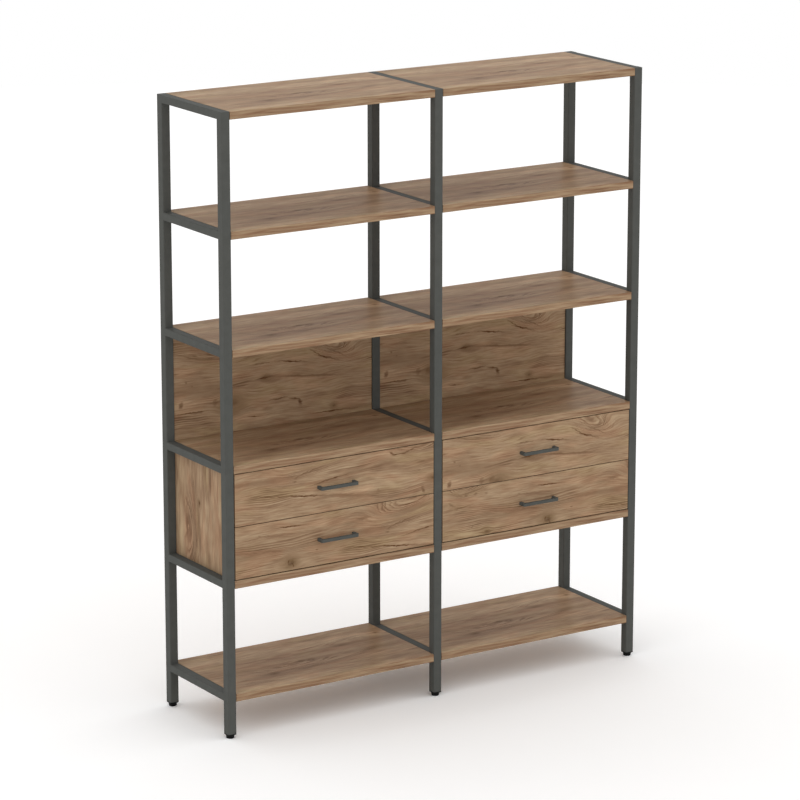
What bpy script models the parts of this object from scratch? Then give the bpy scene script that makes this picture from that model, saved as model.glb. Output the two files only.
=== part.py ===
"""Free-standing shelving unit: three welded steel frames, boards in two bays and four drawers.

Units are metres. +X runs to the right along the unit, +Y from its front to its back and +Z up.
The origin is on the floor, under the middle of the space that the unit and its handles fill.
Shelves and drawers are counted from the top.
"""
import math

import bmesh
import bpy
from mathutils import Vector

# Names of what repeats, from left to right and from top to bottom
FRAME_NAMES = ("left", "middle", "right")
BAY_NAMES = ("left", "right")
DRAWER_NAMES = ("upper", "lower")

# Overall arrangement
BAY_WIDTH = 0.740           # clear width between two frames
DEPTH = 0.400               # posts, rails and shelves, front to back
LEVEL_PITCH = 0.370         # from one shelf's top to the next
LEVEL_COUNT = 6
LEG_LENGTH = 0.105          # post below the lowest shelf
CABINET_SHELF = 4           # the drawers hang below this shelf, and the niche is above it

# Frames
TUBE = 0.030                # side of the square post tube, and width of a rail
TUBE_WALL = 0.0015
TUBE_CORNER = 0.003         # outer corner radius of posts and rails
RAIL_BITE = 0.005           # how far a rail's end reaches into the weld at a post
VENT_RADIUS = 0.004         # hole between a rail's hollow and its rear post's hollow
TAB_REACH = 0.025           # support tab, out from the rail
TAB_WIDTH = 0.030
TAB_THICKNESS = 0.003
TAB_RISE = 0.001            # tab's underside above the shelf's underside
TAB_INSET = 0.080           # tab's centre from the front or back plane

# Boards
BOARD_THICKNESS = 0.025
BOARD_END_GAP = 0.0005      # between a shelf's end and the frame
POCKET_CLEARANCE = 0.001    # round a tab in its pocket
SIDE_THICKNESS = 0.016      # sides of the drawer compartment
BACK_THICKNESS = 0.018
BACK_INSET = 0.007          # back panel's rear face from the back plane
BACK_END_GAP = 0.001

# Feet
FOOT_HEIGHT = 0.015         # floor to the end of the post
FOOT_FLANGE = 0.003
FOOT_RADIUS_LOW = 0.0125
FOOT_RADIUS_HIGH = 0.0142
FOOT_PLUG = 0.020           # length of the plug inside the tube

# Drawer fronts
FRONT_THICKNESS = 0.018
FRONT_SIDE_GAP = 0.0025
FRONT_TOP_GAP = 0.0025
FRONT_BETWEEN_GAP = 0.002
FRONT_BOTTOM_GAP = 0.0035
SIDE_SETBACK = 0.001        # compartment's sides behind the drawer fronts

# Drawer boxes
SHEET = 0.0012              # folded steel
DRAWER_SIDE_HEIGHT = 0.118
DRAWER_RISE = 0.012         # drawer side's underside above its front's lower edge
DRAWER_BACK_GAP = 0.0067    # from the drawer's rear end to the back panel
BOTTOM_THICKNESS = 0.012
BOTTOM_LEDGE = 0.014        # inward fold that carries the drawer's bottom
DRAWER_BACK_THICKNESS = 0.016
TOP_FOLD = 0.008            # outward fold along the drawer side's top
TOP_LIP = 0.012             # lip that hangs from that fold
BRACKET_REACH = 0.028       # bracket that holds the drawer front
BRACKET_HEIGHT = 0.070
BRACKET_CLEARANCE = 0.008   # above the drawer's bottom

# Runners
RUNNER_SPACE = 0.0125       # between compartment side and drawer side
RUNNING_GAP = 0.0015        # between runner channel and drawer side
CHANNEL_HEIGHT = 0.0262
CHANNEL_RISE = 0.002        # channel's underside above the drawer side's underside
CHANNEL_SETBACK = 0.002     # channel's front end behind the compartment side's front edge
CHANNEL_MOUTH = 0.030       # front stretch of the channel that has no upper flange
TRACK_CLEARANCE = 0.0018    # drawer's track above the channel
ROLLER_RADIUS = 0.011       # front roller, which turns on the channel
ROLLER_WIDTH = 0.007
ROLLER_SIDE_GAP = 0.001
ROLLER_INSET = 0.014        # roller's centre from the end that carries it
PIN_RADIUS = 0.003

# Handles
HANDLE_LENGTH = 0.138
HANDLE_PROJECTION = 0.028
HANDLE_HEIGHT = 0.010
HANDLE_BAR = 0.008          # bar, front to back
HANDLE_LEG = 0.010
HANDLE_OUTER_BEND = 0.006
HANDLE_INNER_BEND = 0.002
HANDLE_BEVEL = 0.0008

# Gap that stands for contact between two pieces
SEAT_GAP = 0.0003

# Facets of round shapes
TUBE_CORNER_STEPS = 3
BEND_STEPS = 6
BEVEL_STEPS = 2
ROLLER_FACETS = 20
FOOT_FACETS = 32
VENT_FACETS = 8
SMOOTH_ANGLE = math.radians(35)

# Places of frames, bays and shelves
overall_width = len(FRAME_NAMES) * TUBE + len(BAY_NAMES) * BAY_WIDTH
top_z = FOOT_HEIGHT + LEG_LENGTH + BOARD_THICKNESS + (LEVEL_COUNT - 1) * LEVEL_PITCH
shelf_tops = [top_z - level * LEVEL_PITCH for level in range(LEVEL_COUNT)]
front_y = (HANDLE_PROJECTION - DEPTH) / 2
middle_y = front_y + DEPTH / 2
frame_x = [(TUBE - overall_width) / 2 + i * (TUBE + BAY_WIDTH) for i in range(len(FRAME_NAMES))]
bay_x = [(frame_x[i] + frame_x[i + 1]) / 2 for i in range(len(BAY_NAMES))]
rail_height = BOARD_THICKNESS
tube_hollow = TUBE / 2 - TUBE_WALL
hollow_corner = TUBE_CORNER - TUBE_WALL
tab_rows = (TAB_INSET, DEPTH - TAB_INSET)

# Drawer compartment. Distances in depth are counted from the front plane.
cabinet_ceiling = shelf_tops[CABINET_SHELF - 1] - BOARD_THICKNESS
cabinet_floor = shelf_tops[CABINET_SHELF]
back_panel_depth = DEPTH - BACK_INSET - BACK_THICKNESS
cabinet_end = back_panel_depth - SEAT_GAP
cabinet_half = BAY_WIDTH / 2 - SEAT_GAP - SIDE_THICKNESS
side_start = FRONT_THICKNESS + SIDE_SETBACK

# Drawer fronts
drawer_count = len(DRAWER_NAMES)
gaps_height = FRONT_TOP_GAP + FRONT_BOTTOM_GAP + (drawer_count - 1) * FRONT_BETWEEN_GAP
front_height = (cabinet_ceiling - cabinet_floor - gaps_height) / drawer_count
front_width = BAY_WIDTH - 2 * FRONT_SIDE_GAP

# Drawer boxes and runners. Heights are counted from the drawer front's lower edge.
box_start = FRONT_THICKNESS + SEAT_GAP
box_end = back_panel_depth - DRAWER_BACK_GAP
box_half = cabinet_half - RUNNER_SPACE - SHEET - SEAT_GAP
box_top = DRAWER_RISE + DRAWER_SIDE_HEIGHT
bottom_low = DRAWER_RISE + SHEET + SEAT_GAP
bottom_high = bottom_low + BOTTOM_THICKNESS
channel_start = side_start + CHANNEL_SETBACK
channel_low = DRAWER_RISE + CHANNEL_RISE
channel_high = channel_low + CHANNEL_HEIGHT
track_low = channel_high + TRACK_CLEARANCE
roller_from = SEAT_GAP + SHEET + ROLLER_SIDE_GAP
roller_to = roller_from + ROLLER_WIDTH


def make_material(name, colour, roughness, metallic):
    material = bpy.data.materials.new(name)
    material.use_nodes = True
    shader = material.node_tree.nodes["Principled BSDF"]
    shader.inputs["Base Color"].default_value = (*colour, 1.0)
    shader.inputs["Roughness"].default_value = roughness
    shader.inputs["Metallic"].default_value = metallic
    return material


def oak_decor(name):
    return make_material(name, (0.352, 0.223, 0.133), 0.55, 0.0)


def graphite_steel(name):
    return make_material(name, (0.089, 0.093, 0.084), 0.45, 0.6)


def runner_steel(name):
    return make_material(name, (0.45, 0.46, 0.47), 0.4, 0.7)


def drawer_board(name):
    return make_material(name, (0.42, 0.41, 0.39), 0.6, 0.0)


def black_plastic(name):
    return make_material(name, (0.012, 0.012, 0.012), 0.5, 0.0)


def arc(centre, radius, start, end, steps):
    """Points on a circle's arc, whose ends are given in quarter turns."""
    angles = [math.pi / 2 * (start + (end - start) * i / steps) for i in range(steps + 1)]
    return [(centre[0] + radius * math.cos(a), centre[1] + radius * math.sin(a)) for a in angles]


def circle(centre, radius, facets):
    return arc(centre, radius, 0, 4, facets)[:-1]


def rounded_rectangle(low, high, radius, steps):
    corners = (
        (high[0] - radius, high[1] - radius),
        (low[0] + radius, high[1] - radius),
        (low[0] + radius, low[1] + radius),
        (high[0] - radius, low[1] + radius),
    )
    points = []
    for quarter, centre in enumerate(corners):
        points += arc(centre, radius, quarter, quarter + 1, steps)
    return points


def place(point, axis, along):
    """A point of an outline, taken into space at a distance along the given axis."""
    first, second = point
    if axis == "X":
        return Vector((along, first, second))
    if axis == "Y":
        return Vector((first, along, second))
    return Vector((first, second, along))


def add_prism(bm, outline, axis, start, end):
    """Extrude a closed outline along an axis."""
    base = bm.faces.new([bm.verts.new(place(point, axis, start)) for point in outline])
    extruded = bmesh.ops.extrude_face_region(bm, geom=[base])["geom"]
    moved = [item for item in extruded if isinstance(item, bmesh.types.BMVert)]
    bmesh.ops.translate(bm, verts=moved, vec=place((0, 0), axis, end - start))


def add_box(bm, x_ends, y_ends, z_ends):
    """A box from its ends along each axis, given in either order."""
    low_x, high_x = sorted(x_ends)
    low_y, high_y = sorted(y_ends)
    outline = [(low_x, low_y), (high_x, low_y), (high_x, high_y), (low_x, high_y)]
    add_prism(bm, outline, "Z", *z_ends)


def make_object(name, bm):
    """Turn closed shapes into an object of the scene."""
    bmesh.ops.recalc_face_normals(bm, faces=bm.faces)
    mesh = bpy.data.meshes.new(name)
    bm.to_mesh(mesh)
    bm.free()
    obj = bpy.data.objects.new(name, mesh)
    bpy.context.collection.objects.link(obj)
    return obj


def box_object(name, x_ends, y_ends, z_ends):
    bm = bmesh.new()
    add_box(bm, x_ends, y_ends, z_ends)
    return make_object(name, bm)


def prism_object(name, outline, axis, start, end):
    bm = bmesh.new()
    add_prism(bm, outline, axis, start, end)
    return make_object(name, bm)


def combine(base, tool, operation):
    """Join the tool's shapes to the base, or cut them out of it, and remove the tool."""
    modifier = base.modifiers.new(operation.lower(), "BOOLEAN")
    modifier.operation = operation
    modifier.solver = "EXACT"
    modifier.object = tool
    graph = bpy.context.evaluated_depsgraph_get()
    base.data = bpy.data.meshes.new_from_object(base.evaluated_get(graph))
    base.modifiers.remove(modifier)
    bpy.data.objects.remove(tool)


def finish(obj, material, location, parent=None, smooth=False):
    """Give a piece its own material and its place."""
    obj.data.name = obj.name
    obj.data.materials.clear()
    obj.data.materials.append(material(obj.name))
    obj.location = location
    obj.parent = parent
    if smooth:
        obj.data.shade_smooth()
        obj.data.set_sharp_from_angle(angle=SMOOTH_ANGLE)


def frame_posts(name):
    """Both posts, still solid. A frame's own origin is on the floor between its posts."""
    bm = bmesh.new()
    for start in (-DEPTH / 2, DEPTH / 2 - TUBE):
        low = (-TUBE / 2, start)
        high = (TUBE / 2, start + TUBE)
        outline = rounded_rectangle(low, high, TUBE_CORNER, TUBE_CORNER_STEPS)
        add_prism(bm, outline, "Z", FOOT_HEIGHT, top_z)
    return make_object(name, bm)


def frame_rails():
    bm = bmesh.new()
    end = DEPTH / 2 - TUBE + RAIL_BITE
    for top in shelf_tops:
        low = (-TUBE / 2, top - rail_height)
        high = (TUBE / 2, top)
        outline = rounded_rectangle(low, high, TUBE_CORNER, TUBE_CORNER_STEPS)
        add_prism(bm, outline, "Y", -end, end)
    return make_object("rails", bm)


def frame_tabs(sides):
    """Tabs that carry the shelves, on the given sides of a frame: -1 is its left, 1 its right."""
    bm = bmesh.new()
    for side in sides:
        root = side * (TUBE / 2 - TUBE_CORNER)
        tip = side * (TUBE / 2 + TAB_REACH)
        for top in shelf_tops:
            low = top - BOARD_THICKNESS + TAB_RISE
            for row in tab_rows:
                middle = row - DEPTH / 2
                width = (middle - TAB_WIDTH / 2, middle + TAB_WIDTH / 2)
                add_box(bm, (root, tip), width, (low, low + TAB_THICKNESS))
    return make_object("tabs", bm)


def frame_hollows():
    """Insides of the tubes. A post is open at its lower end, where its foot plugs in."""
    bm = bmesh.new()
    for middle in (TUBE / 2 - DEPTH / 2, DEPTH / 2 - TUBE / 2):
        low = (-tube_hollow, middle - tube_hollow)
        high = (tube_hollow, middle + tube_hollow)
        outline = rounded_rectangle(low, high, hollow_corner, 1)
        add_prism(bm, outline, "Z", FOOT_HEIGHT - TUBE_WALL, top_z - TUBE_WALL)
    for top in shelf_tops:
        low = (-tube_hollow, top - rail_height + TUBE_WALL)
        high = (tube_hollow, top - TUBE_WALL)
        outline = rounded_rectangle(low, high, hollow_corner, 1)
        add_prism(bm, outline, "Y", TUBE - DEPTH / 2, DEPTH / 2 - TUBE)
    return make_object("hollows", bm)


def frame_vents():
    """A hole from each rail's hollow into its rear post's hollow."""
    bm = bmesh.new()
    wall = DEPTH / 2 - TUBE
    for top in shelf_tops:
        outline = circle((0, top - rail_height / 2), VENT_RADIUS, VENT_FACETS)
        add_prism(bm, outline, "Y", wall - TUBE_WALL, wall + 2 * TUBE_WALL)
    return make_object("vents", bm)


def build_frames():
    for index, frame_name in enumerate(FRAME_NAMES):
        sides = []
        if index > 0:
            sides.append(-1)
        if index < len(FRAME_NAMES) - 1:
            sides.append(1)
        frame = frame_posts(f"frame_{frame_name}")
        combine(frame, frame_rails(), "UNION")
        combine(frame, frame_tabs(sides), "UNION")
        combine(frame, frame_hollows(), "DIFFERENCE")
        combine(frame, frame_vents(), "DIFFERENCE")
        finish(frame, graphite_steel, (frame_x[index], middle_y, 0), smooth=True)


def foot_base(top):
    """The turned, tapered base of a foot."""
    bm = bmesh.new()
    rings = []
    for radius, height in ((FOOT_RADIUS_LOW, 0), (FOOT_RADIUS_HIGH, top)):
        rings.append([bm.verts.new((x, y, height)) for x, y in circle((0, 0), radius, FOOT_FACETS)])
    for ring in rings:
        bm.faces.new(ring)
    lower, upper = rings
    for i in range(FOOT_FACETS):
        j = (i + 1) % FOOT_FACETS
        bm.faces.new((lower[i], lower[j], upper[j], upper[i]))
    return make_object("base", bm)


def foot_object(name):
    """Base, flange and plug in one piece. Its own origin is on the floor."""
    flange_top = FOOT_HEIGHT - SEAT_GAP
    flange_middle = flange_top - FOOT_FLANGE / 2
    half = TUBE / 2
    outline = rounded_rectangle((-half, -half), (half, half), TUBE_CORNER, TUBE_CORNER_STEPS)
    foot = prism_object(name, outline, "Z", flange_top - FOOT_FLANGE, flange_top)
    combine(foot, foot_base(flange_middle), "UNION")
    half = tube_hollow - SEAT_GAP
    outline = rounded_rectangle((-half, -half), (half, half), hollow_corner, 1)
    plug = prism_object("plug", outline, "Z", flange_middle, FOOT_HEIGHT + FOOT_PLUG)
    combine(foot, plug, "UNION")
    return foot


def build_feet():
    rows = (("front", TUBE / 2), ("back", DEPTH - TUBE / 2))
    for x, frame_name in zip(frame_x, FRAME_NAMES):
        for row_name, depth in rows:
            foot = foot_object(f"foot_{frame_name}_{row_name}")
            finish(foot, black_plastic, (x, front_y + depth, 0), smooth=True)


def shelf_object(name, depth):
    """A shelf with pockets for the tabs. Its own origin is the middle of its top front edge."""
    half = BAY_WIDTH / 2 - BOARD_END_GAP
    shelf = box_object(name, (-half, half), (0, depth), (-BOARD_THICKNESS, 0))
    pocket_reach = BAY_WIDTH / 2 - TAB_REACH - POCKET_CLEARANCE
    pocket_half = TAB_WIDTH / 2 + POCKET_CLEARANCE
    pocket_top = TAB_RISE + TAB_THICKNESS + SEAT_GAP - BOARD_THICKNESS
    bm = bmesh.new()
    for side in (-1, 1):
        for row in tab_rows:
            length = (side * pocket_reach, side * BAY_WIDTH / 2)
            width = (row - pocket_half, row + pocket_half)
            add_box(bm, length, width, (-2 * BOARD_THICKNESS, pocket_top))
    combine(shelf, make_object("pockets", bm), "DIFFERENCE")
    return shelf


def build_shelves():
    """The shelf over the drawers stops in front of the back panel, which passes behind it."""
    for x, bay_name in zip(bay_x, BAY_NAMES):
        for number, top in enumerate(shelf_tops, start=1):
            depth = cabinet_end if number == CABINET_SHELF else DEPTH
            shelf = shelf_object(f"{bay_name}_shelf_{number}", depth)
            finish(shelf, oak_decor, (x, front_y, top))


def build_panels():
    """Back panels, and the sides of the drawer compartments."""
    back_half = BAY_WIDTH / 2 - BACK_END_GAP
    back_high = shelf_tops[CABINET_SHELF - 2] - BOARD_THICKNESS - SEAT_GAP - cabinet_floor
    back_width = (-back_half, back_half)
    back_depth = (back_panel_depth, back_panel_depth + BACK_THICKNESS)
    side_high = cabinet_ceiling - SEAT_GAP - cabinet_floor
    for x, bay_name in zip(bay_x, BAY_NAMES):
        location = (x, front_y, cabinet_floor)
        back = box_object(f"{bay_name}_back_panel", back_width, back_depth, (SEAT_GAP, back_high))
        finish(back, oak_decor, location)
        for side, side_name in ((-1, "left"), (1, "right")):
            outer = side * (BAY_WIDTH / 2 - SEAT_GAP)
            ends = (outer, outer - side * SIDE_THICKNESS)
            name = f"{bay_name}_bay_{side_name}_side"
            panel = box_object(name, ends, (side_start, cabinet_end), (SEAT_GAP, side_high))
            finish(panel, oak_decor, location)


def from_side(side, distance):
    """X of a point inside the compartment, at a distance from its left (-1) or right (1) side."""
    return side * (cabinet_half - distance)


def side_prism(name, side, section, start, end):
    """Extrude a section, drawn as distances from the compartment's side, along the depth."""
    outline = [(from_side(side, distance), height) for distance, height in section]
    return prism_object(name, outline, "Y", start, end)


def roller_object(side, radius, depth, height, pin_end):
    """A roller and the pin that holds it, which reaches from the roller to a sheet."""
    ends = (from_side(side, roller_from), from_side(side, roller_to))
    roller = prism_object("roller", circle((depth, height), radius, ROLLER_FACETS), "X", *ends)
    ends = (from_side(side, (roller_from + roller_to) / 2), from_side(side, pin_end))
    pin = prism_object("pin", circle((depth, height), PIN_RADIUS, ROLLER_FACETS), "X", *ends)
    combine(roller, pin, "UNION")
    return roller


def drawer_side_object(name, side):
    """Folded steel side: a ledge for the bottom, a web with the track, and a fold along its top."""
    inner = RUNNER_SPACE + SHEET
    fold = RUNNER_SPACE - TOP_FOLD
    section = [
        (inner + BOTTOM_LEDGE, DRAWER_RISE),
        (inner + BOTTOM_LEDGE, DRAWER_RISE + SHEET),
        (inner, DRAWER_RISE + SHEET),
        (inner, box_top),
        (fold, box_top),
        (fold, box_top - TOP_LIP),
        (fold + SHEET, box_top - TOP_LIP),
        (fold + SHEET, box_top - SHEET),
        (RUNNER_SPACE, box_top - SHEET),
        (RUNNER_SPACE, track_low + SHEET),
        (roller_from, track_low + SHEET),
        (roller_from, track_low),
        (RUNNER_SPACE, track_low),
        (RUNNER_SPACE, DRAWER_RISE),
    ]
    drawer_side = side_prism(name, side, section, box_start, box_end)
    web_middle = RUNNER_SPACE + SHEET / 2
    bracket_low = bottom_high + BRACKET_CLEARANCE
    bracket_ends = (from_side(side, web_middle), from_side(side, inner + BRACKET_REACH))
    bracket_depth = (box_start, box_start + SHEET)
    bracket_height = (bracket_low, bracket_low + BRACKET_HEIGHT)
    bracket = box_object("bracket", bracket_ends, bracket_depth, bracket_height)
    combine(drawer_side, bracket, "UNION")
    radius = CHANNEL_HEIGHT / 2 - SHEET - SEAT_GAP
    height = channel_low + CHANNEL_HEIGHT / 2
    roller = roller_object(side, radius, box_end - ROLLER_INSET, height, web_middle)
    combine(drawer_side, roller, "UNION")
    return drawer_side


def runner_object(name, side):
    """A channel on the compartment's side, with the roller that carries the drawer's track."""
    web = SEAT_GAP + SHEET
    reach = RUNNER_SPACE - RUNNING_GAP
    section = [
        (SEAT_GAP, channel_low),
        (reach, channel_low),
        (reach, channel_low + SHEET),
        (web, channel_low + SHEET),
        (web, channel_high - SHEET),
        (reach, channel_high - SHEET),
        (reach, channel_high),
        (SEAT_GAP, channel_high),
    ]
    runner = side_prism(name, side, section, channel_start, box_end)
    mouth_ends = (from_side(side, web), from_side(side, RUNNER_SPACE))
    mouth_depth = (channel_start - SHEET, channel_start + CHANNEL_MOUTH)
    mouth_height = (channel_high - 2 * SHEET, channel_high + SHEET)
    combine(runner, box_object("mouth", mouth_ends, mouth_depth, mouth_height), "DIFFERENCE")
    height = track_low - SEAT_GAP - ROLLER_RADIUS
    roller = roller_object(side, ROLLER_RADIUS, channel_start + ROLLER_INSET, height, web - SHEET / 2)
    combine(runner, roller, "UNION")
    return runner


def handle_object(name):
    """A bow handle. Its own origin is the middle of the drawer front's face."""
    half = HANDLE_LENGTH / 2
    inner = half - HANDLE_LEG
    bar_front = -HANDLE_PROJECTION
    bar_back = bar_front + HANDLE_BAR
    outer = HANDLE_OUTER_BEND
    bend = HANDLE_INNER_BEND
    outline = [(-half, -SEAT_GAP)]
    outline += arc((-half + outer, bar_front + outer), outer, 2, 3, BEND_STEPS)
    outline += arc((half - outer, bar_front + outer), outer, 3, 4, BEND_STEPS)
    outline += [(half, -SEAT_GAP), (inner, -SEAT_GAP)]
    outline += arc((inner - bend, bar_back + bend), bend, 0, -1, BEND_STEPS)
    outline += arc((-inner + bend, bar_back + bend), bend, -1, -2, BEND_STEPS)
    outline += [(-inner, -SEAT_GAP)]
    handle = prism_object(name, outline, "Z", -HANDLE_HEIGHT / 2, HANDLE_HEIGHT / 2)
    bevel = handle.modifiers.new("bevel", "BEVEL")
    bevel.width = HANDLE_BEVEL
    bevel.segments = BEVEL_STEPS
    bevel.limit_method = "ANGLE"
    bevel.angle_limit = SMOOTH_ANGLE
    return handle


def build_drawer(label, location):
    """One drawer. Its pieces hang on an empty, which slides towards the front along -Y."""
    slide = bpy.data.objects.new(f"{label}_slide", None)
    bpy.context.collection.objects.link(slide)
    slide.location = location
    here = (0, 0, 0)
    half = front_width / 2
    front = box_object(f"{label}_front", (-half, half), (0, FRONT_THICKNESS), (0, front_height))
    finish(front, oak_decor, here, slide)
    handle = handle_object(f"{label}_handle")
    finish(handle, graphite_steel, (0, 0, front_height / 2), slide, smooth=True)
    width = (-box_half, box_half)
    bottom = box_object(f"{label}_bottom", width, (box_start, box_end), (bottom_low, bottom_high))
    finish(bottom, drawer_board, here, slide)
    back_depth = (box_end - DRAWER_BACK_THICKNESS, box_end)
    back = box_object(f"{label}_back", width, back_depth, (bottom_high + SEAT_GAP, box_top))
    finish(back, drawer_board, here, slide)
    for side, side_name in ((-1, "left"), (1, "right")):
        drawer_side = drawer_side_object(f"{label}_{side_name}_side", side)
        finish(drawer_side, runner_steel, here, slide, smooth=True)
        runner = runner_object(f"{label}_{side_name}_runner", side)
        finish(runner, runner_steel, location, smooth=True)


def build_drawers():
    for x, bay_name in zip(bay_x, BAY_NAMES):
        for index, drawer_name in enumerate(DRAWER_NAMES):
            top = cabinet_ceiling - FRONT_TOP_GAP - index * (front_height + FRONT_BETWEEN_GAP)
            build_drawer(f"{bay_name}_{drawer_name}_drawer", (x, front_y, top - front_height))


for old in list(bpy.data.objects):
    bpy.data.objects.remove(old)
build_frames()
build_feet()
build_shelves()
build_panels()
build_drawers()
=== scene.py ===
"""Looks of the shelving unit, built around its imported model.

Units are metres, in the model's frame: +X to the right along the unit, +Y from its front to its back and
+Z up from the floor. Places and main sizes come from the model's own boxes. Shelves and drawers are
counted from the top.
"""
import math

import bmesh
import bpy
from mathutils import Matrix, Vector


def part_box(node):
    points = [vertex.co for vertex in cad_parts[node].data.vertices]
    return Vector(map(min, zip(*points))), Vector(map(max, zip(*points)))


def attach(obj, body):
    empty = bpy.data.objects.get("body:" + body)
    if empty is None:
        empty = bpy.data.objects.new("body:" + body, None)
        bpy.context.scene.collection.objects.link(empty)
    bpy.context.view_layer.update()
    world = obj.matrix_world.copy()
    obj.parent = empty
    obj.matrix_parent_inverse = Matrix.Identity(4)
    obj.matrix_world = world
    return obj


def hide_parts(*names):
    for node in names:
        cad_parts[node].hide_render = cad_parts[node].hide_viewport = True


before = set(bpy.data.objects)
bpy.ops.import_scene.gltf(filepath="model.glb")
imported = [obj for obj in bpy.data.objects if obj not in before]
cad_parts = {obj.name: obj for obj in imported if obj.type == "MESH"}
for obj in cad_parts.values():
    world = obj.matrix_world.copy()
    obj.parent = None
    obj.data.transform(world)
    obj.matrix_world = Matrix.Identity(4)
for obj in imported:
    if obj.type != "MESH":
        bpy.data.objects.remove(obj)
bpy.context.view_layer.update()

# Names of what repeats
FRAMES = ("left", "middle", "right")
BAYS = ("left", "right")
SIDES = ("left", "right")
DRAWERS = ("upper", "lower")
ROWS = ("front", "back")
LEVELS = (1, 2, 3, 4, 5, 6)
CARCASS = "carcass"

# Camera, at the photograph's viewing angle
CAMERA_PLACE = (-6.318, -9.827, 3.936)
CAMERA_YAW = math.radians(32.629)
CAMERA_PITCH = math.radians(14.319)
CAMERA_LENS = 168.0
CAMERA_REACH = 100.0

# Floor. The camera sees it bright enough to reach the backdrop's white away from the unit.
FLOOR_RADIUS = 12.0
FLOOR_FACETS = 96
FLOOR_COLOUR = (0.95, 0.94, 0.92, 1.0)
FLOOR_SEEN = (1.108, 1.102, 1.098, 1.0)

# Steel tube of the frames. A rail's ends reach into the posts by the bite.
TUBE_CORNER = 0.003
TUBE_CORNER_STEPS = 8
TUBE_END_BEVEL = 0.0006
RAIL_BITE = 0.005

# Tabs that carry the boards
TAB_REACH = 0.025
TAB_WIDTH = 0.030
TAB_THICKNESS = 0.003
TAB_RISE = 0.001
TAB_INSET = 0.080
TAB_CORNER = 0.004
TAB_SCREW_INSET = 0.013
PLATE_CORNER_STEPS = 5

# Boards. The seat gap is what the model leaves between pieces that touch. A back panel is longer than the
# model's own by the extra at each end, which leaves only that gap at the posts.
EDGE_RADIUS = 0.0008
EDGE_STEPS = 3
SMALL_BEVEL_STEPS = 2
CORE_EDGE = 0.0004
BAND_THICKNESS = 0.0012
BAND_GROOVE = 0.0001
POCKET_CLEARANCE = 0.001
SEAT_GAP = 0.0003
BACK_END_EXTRA = 0.0007

# Feet
FOOT_FLANGE = 0.003
FOOT_FLANGE_BEVEL = 0.0004
FOOT_RADIUS_LOW = 0.0125
FOOT_RADIUS_HIGH = 0.0142
FOOT_SHOULDER = 0.0008
FOOT_ROUNDING = 0.0016
FOOT_ROUNDING_STEPS = 4
FOOT_FACETS = 48

# Handles
HANDLE_BAR = 0.008
HANDLE_LEG = 0.010
HANDLE_OUTER_BEND = 0.006
HANDLE_OUTER_STEPS = 12
HANDLE_INNER_BEND = 0.002
HANDLE_INNER_STEPS = 8
HANDLE_BEVEL = 0.0008
HANDLE_BEVEL_STEPS = 4
HANDLE_SCREW_SPACING = 0.128

# Drawer boxes and runners, whose widths are counted from the compartment side's inner face
SHEET = 0.0012
SHEET_BEND = 0.0015
SHEET_BEND_STEPS = 4
RUNNER_SPACE = 0.0125
RUNNING_GAP = 0.0015
DRAWER_RISE = 0.012
BOTTOM_LEDGE = 0.014
TOP_FOLD = 0.008
TOP_LIP = 0.012
BRACKET_REACH = 0.028
BRACKET_HEIGHT = 0.070
BRACKET_CORNER = 0.005
BRACKET_CLEARANCE = 0.008
BRACKET_SCREW_REACH = 0.0168
BRACKET_SCREW_HEIGHTS = (0.0175, 0.0525)
CHANNEL_HEIGHT = 0.0262
CHANNEL_RISE = 0.002
CHANNEL_MOUTH = 0.030
TRACK_CLEARANCE = 0.0018
TRACK_EDGE = 0.0003

# Rollers and their rivet pins. The shares of a roller's radius are its hub, the recess and the rim.
ROLLER_RADIUS = 0.011
ROLLER_WIDTH = 0.007
ROLLER_SIDE_GAP = 0.001
ROLLER_FROM = SEAT_GAP + SHEET + ROLLER_SIDE_GAP
ROLLER_INSET = 0.014
ROLLER_ROUNDING = 0.0008
ROLLER_ROUNDING_STEPS = 4
ROLLER_SHARES = (0.45, 0.5, 0.8, 0.85)
ROLLER_RECESS = 0.0006
ROLLER_FACETS = 40
PIN_RADIUS = 0.003
PIN_HEAD = 0.0004
PIN_HEAD_SHARE = 0.8
PIN_BITE = 0.002
PIN_FACETS = 24

# Screws. The crown takes its share of the head's height, and its angles are in radians.
SCREW_RADIUS = 0.0036
SCREW_HEIGHT = 0.0019
SCREW_CROWN = 0.65
SCREW_CROWN_ANGLES = (0.0, 0.35, 0.7, 1.0)
SCREW_SOCKET = 0.0015
SCREW_SOCKET_FLOOR = 0.00135
SCREW_SOCKET_DEPTH = 0.0011
SCREW_FACETS = 24

# Edges that turn by more than the angle are shaded sharp. Points this close in height are level.
SMOOTH_ANGLE = math.radians(38)
SAME_HEIGHT = 1e-6

# How a board lies: where its own axes point. X runs along the grain, Y across it, Z through the board.
FLAT = Matrix.Identity(3)
UPRIGHT = Matrix(((1, 0, 0), (0, 0, -1), (0, 1, 0)))
SIDEWAYS = Matrix(((0, 0, -1), (0, 1, 0), (1, 0, 0)))

# Where boards are cut from the decor, along and across the grain. Boards with one cut look the same.
SHELF_CUT = (0.0, 1.0)
BACK_CUT = (1.3, -0.461)
SIDE_CUT = (3.4, 0.2)
FRONT_CUTS = {
    "left_upper": (0.343, -0.046),
    "left_lower": (0.0, 0.0),
    "right_upper": (1.3, 0.0),
    "right_lower": (-0.21, 0.010),
}


def in_metres(columns, rows):
    """Rows of a table, whose given columns are written in millimetres."""
    return [[value / 1000 if i in columns else value for i, value in enumerate(row)] for row in rows]


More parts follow.
